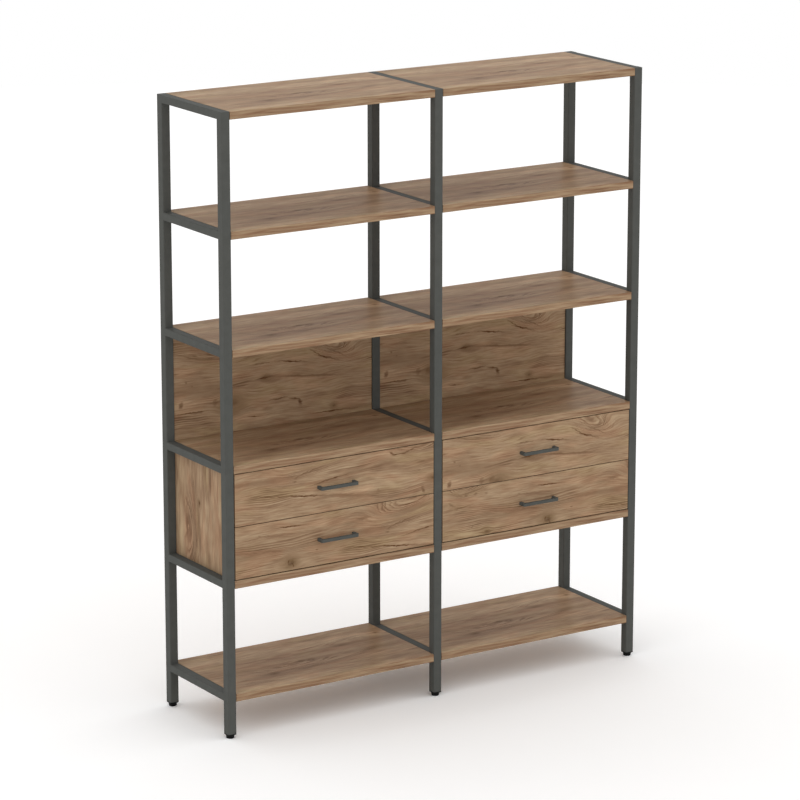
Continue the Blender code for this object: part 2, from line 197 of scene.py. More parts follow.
# The decor's dark marks: along and across the grain, turn, half length, half width and strength
MARKS = in_metres((0, 1, 3, 4), (
    (205, 142, -0.04, 87, 3.1, 1.00),
    (98, 126, -0.05, 39, 2.4, 0.75),
    (465, 127, 0.08, 38, 8.6, 0.40),
    (640, 150, 0.03, 53, 3, 0.88),
    (560, 68, 0.20, 10, 4.4, 0.66),
    (630, 98, 0.22, 57, 2.5, 0.62),
    (585, 88, 0.38, 51, 2.5, 0.50),
    (690, 57, 0.14, 108, 3.4, 1.00),
    (445, 37, -0.16, 74, 2.4, 0.75),
    (575, 20, -0.11, 117, 4, 1.00),
    (740, -2, -0.13, 164, 8.6, 0.45),
    (297, 52, 0.00, 6, 4.1, 0.66),
    (100, 30, 0.10, 42, 2.4, 0.62),
    (193, 27, 1.15, 11, 3.4, 0.62),
    (209, 15, -0.85, 13, 3.4, 0.62),
    (922, 108, -0.45, 22, 4.4, 0.66),
    (950, 103, 0.02, 44, 3.1, 0.88),
    (985, 109, 0.25, 44, 2.8, 0.75),
    (868, -4, 1.40, 8, 7.5, 0.44),
    (1023, 40, 0.10, 6, 4.6, 0.46),
    (1038, -28, -1.15, 18, 9.2, 0.54),
    (-150, 113, 0.12, 69, 3.4, 1.00),
    (-175, 128, -0.55, 21, 6.2, 0.44),
    (-120, 152, 0.10, 11, 7.5, 0.46),
    (-83, 152, 0.00, 10, 6.6, 0.46),
    (-42, 150, 0.00, 11, 6.6, 0.38),
    (-95, 43, 0.50, 7, 4.6, 0.46),
    (120, 75, -0.03, 468, 50.1, 0.21),
    (640, 130, 0.15, 172, 17.2, 0.33),
    (850, 75, 0.10, 187, 11.4, 0.33),
    (420, 85, -0.03, 250, 14.3, 0.33),
    (1735, 110, -0.14, 92, 3.4, 1.00),
    (1625, 117, -0.01, 68, 2.4, 0.88),
    (1606, 132, 0.25, 26, 5.6, 0.40),
    (1632, 68, 0.05, 53, 5, 0.75),
    (1800, 54, -0.11, 187, 5.8, 0.62),
    (1835, 122, -0.50, 60, 3.1, 0.75),
    (1870, 105, -0.32, 69, 3.6, 0.88),
    (1905, 118, -0.45, 60, 3.1, 0.62),
    (1325, 19, 1.10, 16, 11.6, 0.72),
    (1361, -11, 0.00, 82, 3, 1.00),
    (1388, -13, 0.05, 31, 6.6, 0.66),
    (1450, 12, 1.40, 20, 13.2, 0.56),
    (1490, 12, 1.30, 20, 21, 0.46),
    (1687, -7, 0.06, 48, 3.1, 1.00),
    (1745, -15, -0.15, 29, 4.4, 0.75),
    (1765, -30, -1.20, 20, 9.2, 0.72),
    (1900, -76, -0.02, 134, 3.1, 1.00),
    (1590, -53, -0.10, 44, 2.4, 0.88),
    (1585, 146, 0.05, 56, 11.4, 0.36),
    (1305, 122, 0.00, 22, 3.1, 0.66),
    (1345, 90, 0.30, 7, 5.6, 0.46),
    (1366, 74, 0.00, 6, 4.6, 0.56),
    (1400, 60, -0.04, 218, 35.8, 0.33),
    (1640, -35, 0.00, 30, 13, 0.34),
    (200, 1110, 0.05, 57, 27.8, 0.27),
    (150, 1105, 0.00, 169, 30.4, 0.22),
    (85, 1098, 0.00, 36, 13.9, 0.18),
    (350, 1176, 0.02, 58, 12.6, 0.32),
    (400, 1173, -0.02, 286, 21.5, 0.21),
    (27, 1134, 1.15, 17, 11.7, 0.29),
    (532, 1248, 0.00, 57, 15.2, 0.26),
    (560, 1245, 0.02, 260, 25.3, 0.22),
    (605, 1167, 0.10, 47, 13.9, 0.27),
    (320, 1258, -0.05, 55, 13.9, 0.24),
    (470, 1075, -0.35, 72, 10.1, 0.21),
    (640, 1050, 0.10, 169, 13.9, 0.26),
    (40, 1385, 0.00, 78, 20.2, 0.32),
    (640, 1370, -0.10, 117, 13.9, 0.29),
    (100, 1300, 0.90, 23, 18.6, 0.18),
    (370, 1195, 0.00, 910, 94.9, 0.11),
    (520, 1130, 0.00, 182, 15.2, 0.20),
    (180, 1215, 0.03, 208, 13.9, 0.20),
    (3600, 400, 0.00, 15, 4.4, 0.60),
    (3560, 405, 0.02, 143, 13.2, 0.35),
    (3690, 330, 0.00, 78, 11, 0.50),
    (3640, 352, 0.00, 65, 5.5, 0.40),
    (3475, 489, -0.60, 28, 10.2, 0.36),
    (3728, 470, 0.10, 39, 15.4, 0.50),
    (3735, 440, 0.20, 22, 6.3, 0.45),
    (3430, 340, 0.10, 39, 14.3, 0.50),
    (3540, 480, 0.02, 104, 6.6, 0.30),
))

# Knots: along and across the grain, and radius
KNOTS = in_metres((0, 1, 2), (
    (200, 22, 13),
    (-38, 20, 8),
    (1075, 7, 9),
    (1638, 68, 7),
    (1512, 2, 20),
    (1893, -58, 6),
    (205, 1112, 6),
    (345, 1176, 4),
    (705, 1300, 4),
    (3600, 401, 5),
))

# Flames: along and across, turn, half length, half width and how far the grain rises
FLAMES = in_metres((0, 1, 3, 4, 5), (
    (620, 150, 0.25, 230, 80, 80),
    (-130, 175, 0.10, 120, 45, 40),
    (1000, 130, -0.20, 150, 50, 40),
    (150, 100, 0.00, 400, 60, 20),
    (1900, 140, -0.40, 160, 60, 60),
    (1500, 170, 0.10, 250, 50, 30),
    (1450, -200, 0.00, 350, 70, 70),
    (1900, -300, 0.05, 350, 70, -70),
    (300, 1140, 0.00, 350, 60, 50),
    (620, 1300, 0.05, 300, 50, -40),
    (3500, 450, 0.00, 200, 60, 50),
))

# Light and dark areas, as the marks, with the change of tone instead of the strength
SHADES = in_metres((0, 1, 3, 4), (
    (420, 145, -0.05, 220, 30, -0.110),
    (480, 120, 0.00, 110, 22, -0.060),
    (80, 150, 0.00, 130, 22, -0.060),
    (-80, 62, 0.00, 130, 18, -0.050),
    (-120, 95, -0.05, 200, 26, 0.100),
    (230, 92, 0.00, 250, 24, 0.070),
    (-90, 28, 0.00, 180, 24, 0.120),
    (510, 10, 0.03, 170, 27, 0.120),
    (890, 10, -0.05, 220, 50, 0.160),
    (1020, 62, 0.00, 130, 24, -0.110),
    (900, 70, 0.00, 110, 20, -0.050),
    (600, 58, 0.20, 90, 22, -0.060),
    (100, 30, 0.20, 80, 30, -0.060),
    (440, -35, 0.00, 100, 16, -0.070),
    (620, -32, 0.00, 100, 16, -0.070),
    (1580, 125, -0.15, 120, 22, -0.050),
    (1690, 100, 0.10, 100, 20, -0.050),
    (1670, 55, 0.00, 130, 20, -0.050),
    (1370, 95, 0.00, 110, 22, -0.050),
    (1980, 90, 0.00, 110, 24, 0.060),
    (1900, 75, 0.30, 70, 22, 0.050),
    (300, 1312, 0.00, 500, 55, 0.150),
    (560, 1298, 0.00, 230, 32, 0.060),
    (700, 1300, 0.00, 140, 36, 0.110),
    (120, 1255, 0.00, 220, 36, 0.100),
    (60, 1195, -0.10, 270, 52, -0.140),
    (220, 1160, 0.00, 130, 50, -0.050),
    (340, 1095, 0.10, 250, 38, -0.140),
    (190, 1100, 0.00, 120, 38, -0.110),
    (150, 1030, 0.00, 330, 40, 0.080),
    (620, 1035, -0.10, 190, 40, -0.090),
    (640, 1165, 0.00, 190, 55, -0.070),
    (680, 1335, 0.00, 100, 24, -0.080),
))

# Layers of noise in the grain: scale along and across it, shift along it, detail and roughness. Through a
# board the grain is finer than across it by the squeeze.
GRAIN_LAYERS = {
    "bands": (1.2, 9.0, 47.0, 1.0, 0.5),
    "broad": (3.0, 26.0, 0.0, 2.0, 0.5),
    "medium": (9.0, 100.0, 3.0, 2.0, 0.6),
    "fibre": (18.0, 260.0, 7.0, 2.0, 0.6),
    "fine": (26.0, 700.0, 5.0, 2.0, 0.6),
    "mottle": (13.0, 34.0, 61.0, 2.0, 0.5),
    "clouds": (7.0, 26.0, 11.0, 2.0, 0.5),
    "patches": (4.0, 18.0, 19.0, 2.0, 0.5),
    "ringed": (4.0, 18.0, 31.0, 2.0, 0.5),
    "smudges": (6.0, 40.0, 41.0, 2.0, 0.55),
    "pores": (40.0, 1600.0, 83.0, 1.0, 0.5),
}
THROUGH_SQUEEZE = 2.5

# Noise that bends the grain and makes its marks ragged: scale along and across it, shift and detail
WANDER = (1.6, 6.0, 0.0, 2.0)
SWIRL = (5.0, 9.0, 7.0, 1.0)
RIPPLE = (14.0, 45.0, 0.0, 2.0)
JITTER = (60.0, 150.0, 0.0, 3.0)

# How far it moves the grain, the grain's rise over flames, and the marks
GRAIN_WANDER = 0.030
GRAIN_SWIRL = 0.028
GRAIN_RIPPLE = 0.0015
RISE_RIPPLE = 0.003
MARK_RIPPLE = 0.006
MARK_JITTER = (0.016, 0.009, 0.0)

# Spots: where they begin and where they are full, as shares of the way to the rim. A knot's reach and heart
# are in radii along and across the grain, and its push is in radii. A flame bends the grain by a share of
# its rise.
SPOT_RIM = (1.0, 0.15)
FLAME_RIM = (1.0, 0.0)
KNOT_REACH = (4.5, 3.0)
KNOT_HEART = (1.3, 0.8)
KNOT_TURN = 0.1
KNOT_PUSH = 2.0
FLAME_BEND = 0.5

# Growth rings: number in a metre, drift, a ring's dark part and its sharp end, and where they show
RINGS_PER_METRE = 130.0
RING_NOISE = (0.8, 16.0, 0.0, 2.0)
RING_DRIFT = 10.0
LATE_WOOD = (0.20, 0.80)
LATE_WOOD_END = (1.0, 0.84)
RINGS_SHOWN = (0.51, 0.69)
FLAME_SHOWN = 0.22

# Streaks on the edge bands: slant, scales, place in the noise, mean, and where they are reddish
STREAK_SLANT = 0.015
STREAK_ALONG = 6.0
STREAK_THROUGH = 130.0
STREAK_PLACE = 23.0
STREAK_MEAN = 0.57
STREAK_REDDISH = (0.52, 0.34)

# The decor's tone: what each part adds to it, and its colours from dark to light, as a screen shows them
LARGE_LAYERS = {"broad": 0.36, "bands": 0.22, "mottle": 0.26}
LARGE_START = -0.42
EDGE_LARGE = 0.2
MEDIUM_TONE = 0.34
FIBRE_TONE = 0.52
LATE_WOOD_TONE = -0.25
MEAN_TONE = 0.134
OAK_TONES = (
    (0.22, (111, 86, 65)),
    (0.40, (139, 111, 87)),
    (0.56, (157, 130, 103)),
    (0.82, (186, 161, 131)),
)

# Tints of the decor's patches, and where its layers show
PINK = (1.05, 0.975, 0.955, 1.0)
OLIVE = (0.99, 1.0, 0.93, 1.0)
WIDE_FACE = (0.5, 0.8)
CLOUDS_SHOWN = (0.45, 0.65)
PATCHES_SHOWN = (0.50, 0.70)
SMUDGES_SHOWN = (0.60, 0.80)
PORES_SHOWN = (0.60, 0.75)

# How the grain breaks up marks, and the share and colour of smudges, knots' halos, marks and knots' cores
BREAK_SCALE = 2.6
BREAK_START = -1.6
BREAK_LEAST = 0.2
SMUDGE = (0.35, (110, 84, 58))
HALO = (0.50, (112, 86, 58))
MARK = (0.80, (90, 58, 36))
CORE = (0.42, (78, 54, 36))

# Fine grain and pores: their greys, and the decor's roughness and relief
FINE_GREY = 0.30
GREY_START = 0.86
PORE_GREY = -0.08
OAK_ROUGH = 0.36
MEDIUM_ROUGH = 0.14
MEDIUM_RELIEF = 0.5
PORE_RELIEF = -0.8
OAK_RELIEF = 0.00006

# Other materials. A ramp's ends hold most values of a noise.
MATTE_SPECULAR = 0.03
PLAIN_SPECULAR = 0.5
RAMP_LOW = 0.3
RAMP_HIGH = 0.7
SPECK_SCALE = 5200.0


def arc(centre, radius, start, end, steps):
    """Points on a circle's arc, whose ends are given in quarter turns."""
    angles = [math.pi / 2 * (start + (end - start) * i / steps) for i in range(steps + 1)]
    return [(centre[0] + radius * math.cos(a), centre[1] + radius * math.sin(a)) for a in angles]


def corner_centres(low, high, radius):
    """Centres of the rounded corners of a rectangle, in turn from its highest corner."""
    left, right = low[0] + radius, high[0] - radius
    bottom, top = low[1] + radius, high[1] - radius
    return (right, top), (left, top), (left, bottom), (right, bottom)


def rounded_rectangle(low, high, radius, steps):
    points = []
    for quarter, centre in enumerate(corner_centres(low, high, radius)):
        points += arc(centre, radius, quarter, quarter + 1, steps)
    return points


def place(point, axis, along):
    """A point of an outline, taken into space at a distance along the given axis."""
    values = list(point)
    values.insert("XYZ".index(axis), along)
    return Vector(values)


def tube_section(low, high):
    return rounded_rectangle(low, high, TUBE_CORNER, TUBE_CORNER_STEPS)


def add_prism(bm, outline, axis, start, end):
    """Extrude a closed outline along an axis, and return the vertices of both ends."""
    lower = [bm.verts.new(place(point, axis, start)) for point in outline]
    upper = [bm.verts.new(place(point, axis, end)) for point in outline]
    bm.faces.new(lower)
    bm.faces.new(upper)
    for i in range(len(outline)):
        j = (i + 1) % len(outline)
        bm.faces.new((lower[i], lower[j], upper[j], upper[i]))
    return lower, upper


def bevel(bm, ends, radius, segments, rims_only=False):
    """Bevel the edges that meet a prism's ends, or only its level rims."""
    edges = dict.fromkeys(edge for end in ends for vert in end for edge in vert.link_edges)
    if rims_only:
        edges = [e for e in edges if abs(e.verts[0].co.z - e.verts[1].co.z) < SAME_HEIGHT]
    settings = {"offset": radius, "segments": segments, "profile": 0.5, "affect": "EDGES"}
    bmesh.ops.bevel(bm, geom=list(edges), **settings)


def add_box(bm, low, high, radius=0.0, segments=EDGE_STEPS):
    """A box between two corners, whose edges can be rounded."""
    outline = [(low[0], low[1]), (high[0], low[1]), (high[0], high[1]), (low[0], high[1])]
    ends = add_prism(bm, outline, "Z", low[2], high[2])
    if radius:
        bevel(bm, ends, radius, segments)


def add_lathe(bm, profile, centre, axis, facets):
    """Turn a profile of (radius, height) points about an axis through the centre."""
    rings = []
    for radius, height in profile:
        points = arc((0, 0), radius, 0, 4, facets)[:-1] if radius else [(0, 0)]
        rings.append([bm.verts.new(Vector(centre) + place(point, axis, height)) for point in points])
    for lower, upper in zip(rings, rings[1:]):
        for i in range(facets):
            turns = ((lower, i), (lower, i + 1), (upper, i + 1), (upper, i))
            corners = [ring[step % len(ring)] for ring, step in turns]
            bm.faces.new(list(dict.fromkeys(corners)))
    for ring in (rings[0], rings[-1]):
        if len(ring) > 1:
            bm.faces.new(ring)


def sheet_outline(line, thickness, bend):
    """Outline of a folded sheet, from its middle line in the plane of its section."""
    points = [Vector(p) for p in line]
    sides = ([], [])
    for index, point in enumerate(points):
        before = (point - points[index - 1]).normalized() if index else None
        after = (points[index + 1] - point).normalized() if index + 1 < len(points) else None
        for side, outline in zip((1, -1), sides):
            shift = side * thickness / 2
            if before is None or after is None:
                way = after or before
                outline.append(point + shift * Vector((-way.y, way.x)))
                continue
            turn = math.copysign(1, before.cross(after))
            centre = point - bend * before + bend * turn * Vector((-before.y, before.x))
            radius = bend - turn * shift
            start = -turn * Vector((-before.y, before.x))
            for step in range(SHEET_BEND_STEPS + 1):
                angle = turn * math.pi / 2 * step / SHEET_BEND_STEPS
                turned = Matrix.Rotation(angle, 2) @ start
                outline.append(centre + radius * turned)
    return [tuple(p) for p in sides[0] + sides[1][::-1]]


def new_object(name, bm):
    """Turn closed shapes into an object whose faces look outwards."""
    bmesh.ops.recalc_face_normals(bm, faces=bm.faces)
    mesh = bpy.data.meshes.new(name)
    bm.to_mesh(mesh)
    bm.free()
    obj = bpy.data.objects.new(name, mesh)
    bpy.context.scene.collection.objects.link(obj)
    return obj


def dress(piece, material, body, replaced=()):
    """Give a piece its material, its shading and its body."""
    piece.data.materials.clear()
    piece.data.materials.append(material)
    piece.data.shade_smooth()
    piece.data.set_sharp_from_angle(angle=SMOOTH_ANGLE)
    normals = piece.modifiers.new("even_normals", "WEIGHTED_NORMAL")
    normals.keep_sharp = True
    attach(piece, body)
    if replaced:
        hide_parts(*replaced)


def make_piece(name, bm, material, body, replaced=(), matrix=None):
    """Turn closed shapes into a piece that rides on a body of the model."""
    piece = new_object(name, bm)
    if matrix is not None:
        piece.matrix_world = matrix
    dress(piece, material, body, replaced)
    return piece


def combine(base, tool, operation):
    """Join the tool's shapes to the base, or cut them out of it, and remove the tool."""
    modifier = base.modifiers.new(operation.lower(), "BOOLEAN")
    modifier.operation = operation
    modifier.solver = "EXACT"
    modifier.object = tool
    graph = bpy.context.evaluated_depsgraph_get()
    base.data = bpy.data.meshes.new_from_object(base.evaluated_get(graph))
    base.modifiers.remove(modifier)
    bpy.data.objects.remove(tool)


def srgb(red, green, blue):
    """A colour as it looks on a screen, from 0 to 255, as the linear values that a shader takes."""
    values = []
    for value in (red, green, blue):
        part = value / 255
        values.append(part / 12.92 if part <= 0.04045 else ((part + 0.055) / 1.055) ** 2.4)
    return (*values, 1.0)


class Nodes:
    """Adds shader nodes to a tree. Sockets and plain numbers can both be given as inputs."""

    def __init__(self, tree):
        self.tree = tree

    def add(self, kind, inputs=(), **settings):
        node = self.tree.nodes.new("ShaderNode" + kind)
        for name, value in settings.items():
            setattr(node, name, value)
        pairs = inputs.items() if isinstance(inputs, dict) else enumerate(inputs)
        for key, value in pairs:
            if isinstance(value, bpy.types.NodeSocket):
                self.tree.links.new(value, node.inputs[key])
            elif value is not None:
                node.inputs[key].default_value = value
        return node

    def math(self, operation, first, second=None, third=None, clamp=False):
        inputs = (first, second, third)
        return self.add("Math", inputs, operation=operation, use_clamp=clamp).outputs[0]

    def times(self, first, second):
        return self.math("MULTIPLY", first, second)

    def times_plus(self, first, second, third):
        """The first two values multiplied, and the third added."""
        return self.math("MULTIPLY_ADD", first, second, third)

    def vector(self, operation, first, second=None, third=None):
        return self.add("VectorMath", (first, second, third), operation=operation).outputs[0]

    def length(self, vector):
        return self.add("VectorMath", (vector,), operation="LENGTH").outputs["Value"]

    def parts(self, vector):
        return self.add("SeparateXYZ", (vector,)).outputs

    def combined(self, x, y, z=0.0):
        return self.add("CombineXYZ", (x, y, z)).outputs[0]

    def noise(self, vector, scale=1.0, detail=2.0, roughness=0.5, output="Fac"):
        inputs = {"Vector": vector, "Scale": scale, "Detail": detail, "Roughness": roughness}
        return self.add("TexNoise", inputs).outputs[output]

    def smooth(self, value, low, high):
        """0 up to the low value and 1 from the high one, with a smooth step between them."""
        inputs = {"Value": value, "From Min": low, "From Max": high}
        return self.add("MapRange", inputs, interpolation_type="SMOOTHSTEP").outputs[0]

    def ramp(self, value, stops):
        """Colours by value. Each stop has its position and its colour as it looks on a screen."""
        node = self.add("ValToRGB", (value,))
        elements = node.color_ramp.elements
        while len(elements) < len(stops):
            elements.new(0.5)
        for element, (position, colour) in zip(elements, stops):
            element.position = position
            element.color = srgb(*colour)
        return node.outputs[0]

    def blend(self, factor, first, second, mode="MIX"):
        """Blend two colours, which are the node's inputs 6 and 7."""
        inputs = {0: factor, 6: first, 7: second}
        return self.add("Mix", inputs, data_type="RGBA", blend_type=mode).outputs[2]

    def bump(self, height, distance):
        return self.add("Bump", {"Distance": distance, "Height": height}).outputs[0]

    def own_place(self):
        """The place on a piece, in its own coordinates."""
        return self.add("TexCoord").outputs["Object"]


def new_material(name, roughness, specular=PLAIN_SPECULAR, metallic=0.0):
    """A material, its nodes and its shader."""
    material = bpy.data.materials.new(name)
    material.use_nodes = True
    shader = material.node_tree.nodes["Principled BSDF"]
    shader.inputs["Roughness"].default_value = roughness
    shader.inputs["Specular IOR Level"].default_value = specular
    shader.inputs["Metallic"].default_value = metallic
    return material, Nodes(material.node_tree), shader


def connect(nodes, shader, **sockets):
    for name, socket in sockets.items():
        nodes.tree.links.new(socket, shader.inputs[name.replace("_", " ")])


def local(nodes, where, along, across, turn, length, width):
    """A spot's own coordinates, in which its rim is at distance 1."""
    inputs = {"Vector": where, "Location": (along, across, 0), "Rotation": (0, 0, turn)}
    inputs["Scale"] = (length, width, 1)
    return nodes.add("Mapping", inputs, vector_type="TEXTURE").outputs[0]


def inside(nodes, spot):
    """1 in the middle of a spot and 0 from its rim."""
    return nodes.smooth(nodes.length(spot), *SPOT_RIM)


def summed(nodes, where, spots):
    """The spots' strengths at a place, added up."""
    total = 0.0
    for along, across, turn, length, width, strength in spots:
        amount = inside(nodes, local(nodes, where, along, across, turn, length, width))
        total = nodes.times_plus(amount, strength, total)
    return total


def spot_reach(spot):
    """How far a turned spot goes along and across the grain."""
    _, _, turn, length, width, _ = spot
    return length, width + abs(math.sin(turn)) * length


def knot_reach(knot):
    """How far the grain bends round a knot, along it and across it."""
    return knot[2] * KNOT_REACH[0], knot[2] * KNOT_REACH[1]


def reaching(spots, low, high, reach):
    """The spots that reach into an area of the decor."""
    found = []
    for spot in spots:
        along, across = reach(spot)
        if low[0] - along < spot[0] < high[0] + along and low[1] - across < spot[1] < high[1] + across:
            found.append(spot)
    return found


def plane_noise(nodes, along, across, layer, output="Fac"):
    """Noise over the face of the decor."""
    along_scale, across_scale, shift, detail = layer
    along = nodes.times(along, along_scale)
    across = nodes.times(across, across_scale)
    return nodes.noise(nodes.combined(along, across, shift), detail=detail, output=output)


def oak_material(name, low, high):
    """Tobacco oak decor for an area of it, from its lowest to its highest corner."""
    material, nodes, shader = new_material(name, OAK_ROUGH, MATTE_SPECULAR)
    along, across, through = nodes.parts(nodes.own_place())

    def waver(layer):
        return nodes.math("SUBTRACT", plane_noise(nodes, along, across, layer), 0.5)

    # Edge bands show their own straight streaks, so marks stay on the wide faces
    facing = nodes.parts(nodes.add("TexCoord").outputs["Normal"])[2]
    wide = nodes.smooth(nodes.math("ABSOLUTE", facing), *WIDE_FACE)
    narrow = nodes.math("SUBTRACT", 1.0, wide)
    slanted = nodes.times(nodes.times_plus(along, STREAK_SLANT, through), STREAK_THROUGH)
    streaks = nodes.noise(nodes.combined(nodes.times(along, STREAK_ALONG), STREAK_PLACE, slanted))

    # The grain wanders and ripples, and the outlines of marks are a little ragged
    ripple = waver(RIPPLE)
    bend = nodes.times(waver(WANDER), GRAIN_WANDER)
    bend = nodes.times_plus(waver(SWIRL), GRAIN_SWIRL, bend)
    bend = nodes.times_plus(ripple, GRAIN_RIPPLE, bend)
    grain = nodes.times_plus(bend, wide, across)
    jitter = plane_noise(nodes, along, across, JITTER, "Color")
    jitter = nodes.vector("MULTIPLY_ADD", jitter, MARK_JITTER, [-value / 2 for value in MARK_JITTER])
    marked = nodes.combined(along, nodes.times_plus(ripple, MARK_RIPPLE, across))
    marked = nodes.vector("ADD", marked, jitter)

    # It bends round the knots
    core = 0.0
    halo = 0.0
    for knot in reaching(KNOTS, low, high, knot_reach):
        u, v, radius = knot
        spot = local(nodes, marked, u, v, 0.0, *knot_reach(knot))
        near = inside(nodes, spot)
        push = nodes.times(near, nodes.parts(spot)[1])
        grain = nodes.times_plus(push, -radius * KNOT_PUSH, grain)
        halo = nodes.math("ADD", near, halo)
        heart = [radius * share for share in KNOT_HEART]
        core = nodes.math("ADD", inside(nodes, local(nodes, marked, u, v, KNOT_TURN, *heart)), core)

    # It rises over the flames, and the growth rings rise with it
    rise = nodes.times_plus(ripple, RISE_RIPPLE, grain)
    flame = 0.0
    for u, v, turn, length, width, height in reaching(FLAMES, low, high, spot_reach):
        distance = nodes.length(local(nodes, marked, u, v, turn, length, width))
        near = nodes.smooth(distance, *FLAME_RIM)
        flame = nodes.math("MAXIMUM", near, flame)
        rise = nodes.times_plus(near, height, rise)
        grain = nodes.times_plus(near, height * FLAME_BEND, grain)
    marking = summed(nodes, marked, reaching(MARKS, low, high, spot_reach))
    shade = summed(nodes, marked, reaching(SHADES, low, high, spot_reach))

    def layer(label):
        along_scale, across_scale, shift, detail, roughness = GRAIN_LAYERS[label]
        where = nodes.combined(
            nodes.times_plus(along, along_scale, shift),
            nodes.times(grain, across_scale),
            nodes.times(through, across_scale * THROUGH_SQUEEZE),
        )
        return nodes.noise(where, 1.0, detail, roughness)

    medium = layer("medium")
    fibre = layer("fibre")

    # Growth rings, clearest in the flames
    drift = nodes.times(plane_noise(nodes, along, rise, RING_NOISE), RING_DRIFT)
    rings = nodes.math("FRACT", nodes.times_plus(rise, RINGS_PER_METRE, drift))
    late = nodes.times(nodes.smooth(rings, *LATE_WOOD), nodes.smooth(rings, *LATE_WOOD_END))
    shown = nodes.smooth(nodes.times_plus(flame, FLAME_SHOWN, layer("ringed")), *RINGS_SHOWN)
    late = nodes.times(nodes.times(late, wide), shown)

    # Light and dark
    large = LARGE_START
    for label, share in LARGE_LAYERS.items():
        large = nodes.times_plus(layer(label), share, large)
    tone = nodes.times(large, nodes.times_plus(wide, 1 - EDGE_LARGE, EDGE_LARGE))
    for part, share in (
        (medium, MEDIUM_TONE),
        (fibre, FIBRE_TONE),
        (late, LATE_WOOD_TONE),
        (nodes.math("SUBTRACT", streaks, STREAK_MEAN), narrow),
        (shade, wide),
    ):
        tone = nodes.times_plus(part, share, tone)
    base = nodes.ramp(nodes.math("ADD", tone, MEAN_TONE), OAK_TONES)

    # Pink and olive patches, and reddish streaks on the bands
    pink = nodes.blend(1.0, base, PINK, "MULTIPLY")
    olive = nodes.blend(1.0, base, OLIVE, "MULTIPLY")
    reddish = nodes.times(nodes.smooth(streaks, *STREAK_REDDISH), narrow)
    reddish = nodes.times_plus(nodes.smooth(layer("clouds"), *CLOUDS_SHOWN), wide, reddish)
    base = nodes.blend(reddish, base, pink)
    patches = nodes.times(nodes.smooth(layer("patches"), *PATCHES_SHOWN), wide)
    base = nodes.blend(patches, base, olive)

    # Smudges, knots and marks, most of them broken up by the grain
    broken = nodes.times_plus(nodes.math("ADD", medium, fibre), BREAK_SCALE, BREAK_START)
    broken = nodes.times(nodes.math("MAXIMUM", broken, BREAK_LEAST), wide)
    smudge = nodes.smooth(layer("smudges"), *SMUDGES_SHOWN)
    for amount, area, (share, colour) in (
        (smudge, wide, SMUDGE),
        (halo, broken, HALO),
        (marking, broken, MARK),
        (core, broken, CORE),
    ):
        amount = nodes.math("MULTIPLY", nodes.times(amount, area), share, clamp=True)
        base = nodes.blend(amount, base, srgb(*colour))

    # Pores
    pore = nodes.smooth(layer("pores"), *PORES_SHOWN)
    grey = nodes.times_plus(layer("fine"), FINE_GREY, GREY_START)
    grey = nodes.times_plus(pore, PORE_GREY, grey)
    base = nodes.blend(1.0, base, nodes.combined(grey, grey, grey), "MULTIPLY")

    rough = nodes.times_plus(medium, MEDIUM_ROUGH, OAK_ROUGH)
    relief = nodes.times_plus(pore, PORE_RELIEF, nodes.times(medium, MEDIUM_RELIEF))
    connect(nodes, shader, Base_Color=base, Roughness=rough, Normal=nodes.bump(relief, OAK_RELIEF))
    return material


def textured_material(
    name, dark, light, roughness, spread, texture, relief, mottle, specular=PLAIN_SPECULAR, speck=0.0
):
    """A coat or plastic with mottled colour, and a fine texture in its gloss and its surface.

    mottle has the scale and detail of the colour's noise, and speck is a finer noise's share of it. texture
    is the scale of the fine noise, spread its range of roughness and relief its height.
    """
    material, nodes, shader = new_material(name, roughness, specular)
    where = nodes.own_place()
    fine = nodes.noise(where, texture)
    tone = nodes.noise(where, *mottle)
    if speck:
        specks = nodes.noise(where, SPECK_SCALE, 1.0)
        tone = nodes.times_plus(specks, speck, nodes.times(tone, 1 - speck))
    base = nodes.ramp(tone, ((RAMP_LOW, dark), (RAMP_HIGH, light)))
    rough = nodes.times_plus(fine, spread, roughness - spread / 2)
    connect(nodes, shader, Base_Color=base, Roughness=rough, Normal=nodes.bump(fine, relief))
    return material


def melamine_material():
    """Light grey melamine with a faint linen print."""
    material, nodes, shader = new_material("drawer_board", 0.5)
    where = nodes.own_place()
    weft = nodes.noise(nodes.vector("MULTIPLY", where, (60.0, 1500.0, 1500.0)))
    warp = nodes.noise(nodes.vector("MULTIPLY", where, (1500.0, 60.0, 60.0)))
    linen = nodes.times(nodes.math("ADD", weft, warp), 0.5)
    base = nodes.ramp(linen, ((0.35, (164, 162, 158)), (0.65, (182, 180, 176))))
    connect(nodes, shader, Base_Color=base, Normal=nodes.bump(linen, 0.00003))
    return material


def zinc_material():
    """Bright zinc plating on screws and pins, with a faint bloom."""
    material, nodes, shader = new_material("zinc", 0.3, metallic=1.0)
    bloom = nodes.noise(nodes.own_place(), 500.0, 3.0)
    base = nodes.ramp(bloom, ((RAMP_LOW, (158, 158, 156)), (RAMP_HIGH, (196, 197, 198))))
    rough = nodes.times_plus(bloom, 0.25, 0.2)
    connect(nodes, shader, Base_Color=base, Roughness=rough)
    return material


# Matte powder coat with a fine orange peel
graphite = textured_material(
    "graphite_steel", (81, 82, 79), (87, 88, 85), roughness=0.56, spread=0.12, texture=1400.0,
    relief=0.00005, mottle=(40.0, 3.0), specular=MATTE_SPECULAR, speck=0.3,
)
# Satin grey epoxy coat on folded steel
runner_coat = textured_material(
    "runner_steel", (168, 170, 171), (180, 181, 182), roughness=0.37, spread=0.10, texture=900.0,
    relief=0.00004, mottle=(60.0, 3.0),
)
melamine = melamine_material()
